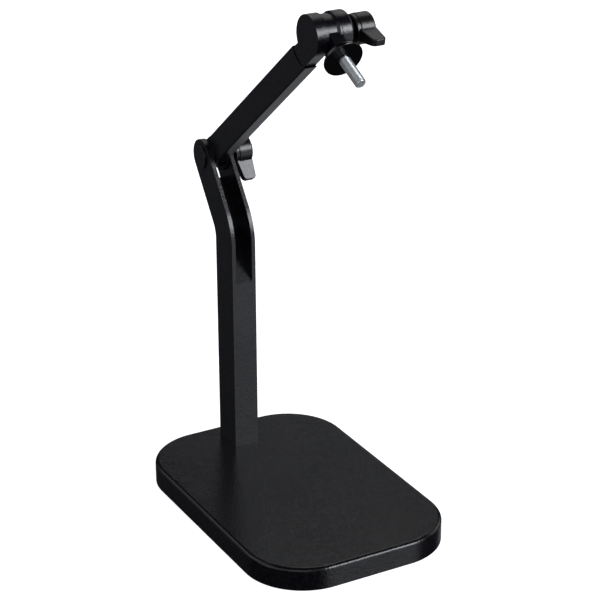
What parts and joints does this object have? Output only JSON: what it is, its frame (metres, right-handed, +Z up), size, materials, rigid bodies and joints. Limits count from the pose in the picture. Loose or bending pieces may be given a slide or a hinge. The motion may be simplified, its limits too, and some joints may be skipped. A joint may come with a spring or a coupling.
{
  "type": "articulated table stand",
  "caption": "Table stand with a heavy rounded base, a bent forked post, a folding arm and a tilting head that carries a threaded stud and disc; wing knobs lock both joints.",
  "frame": {"origin": "on the table, at the middle of the base's underside", "axes": "+Z up, -Y towards the front of the stand, where the arm and stud point, +X towards the side that carries the wing knobs"},
  "size_m": [0.1544, 0.2532, 0.3865],
  "materials": {
    "base_coat": "satin black powder coat",
    "post_coat": "satin black powder coat",
    "arm_coat": "satin black powder coat",
    "head_coat": "fine textured black coat",
    "disc_gloss": "polished gloss black",
    "knob_plastic": "fine textured black moulding",
    "stud_steel": "bright zinc plate",
    "bolt_black": "black oxide",
    "plain_steel": "zinc plate",
    "bush_brass": "turned",
    "friction_nylon": "plain",
    "mat_rubber": "matt"
  },
  "bodies": {
    "stand": {"base_plate": "base_coat", "base_mat": "mat_rubber", "foot_block": "plain_steel", "foot_screws": "plain_steel", "foot_washers": "plain_steel", "post": "post_coat", "slot_wedge": "post_coat", "elbow_bolt": "bolt_black", "elbow_friction_washer_left": "friction_nylon", "elbow_friction_washer_right": "friction_nylon", "elbow_washers": "bolt_black", "elbow_spring_washer": "bolt_black"},
    "arm": {"arm_tube": "arm_coat", "arm_lower_knuckle": "arm_coat", "arm_upper_knuckle": "head_coat", "arm_screws": "bolt_black", "elbow_bush": "bush_brass", "head_bolt": "bolt_black", "head_fibre_disc": "friction_nylon", "clamp_ring": "head_coat", "head_washers": "bolt_black", "head_spring_washer": "bolt_black"},
    "head": {"stud_carrier": "head_coat", "head_bush": "bush_brass", "mount_disc": "disc_gloss", "mount_stud": "stud_steel"},
    "elbow_wing": {"elbow_knob": "knob_plastic", "elbow_knob_insert": "bush_brass"},
    "head_wing": {"head_knob": "knob_plastic", "head_knob_insert": "bush_brass"}
  },
  "joints": [
    {"name": "elbow_fold", "type": "hinge", "parent": "stand", "child": "arm", "pos_m": [0, 0.12494, 0.24053], "axis": [1, 0, 0], "range_deg": [-88, 92]},
    {"name": "head_tilt", "type": "hinge", "parent": "arm", "child": "head", "pos_m": [0, -0.02948, 0.37154], "axis": [1, 0, 0], "range_deg": [-110, 45]},
    {"name": "elbow_knob_turn", "type": "hinge", "parent": "stand", "child": "elbow_wing", "pos_m": [0, 0.12494, 0.24053], "axis": [1, 0, 0], "continuous": true},
    {"name": "head_knob_turn", "type": "hinge", "parent": "arm", "child": "head_wing", "pos_m": [0, -0.02948, 0.37154], "axis": [1, 0, 0], "continuous": true}
  ]
}
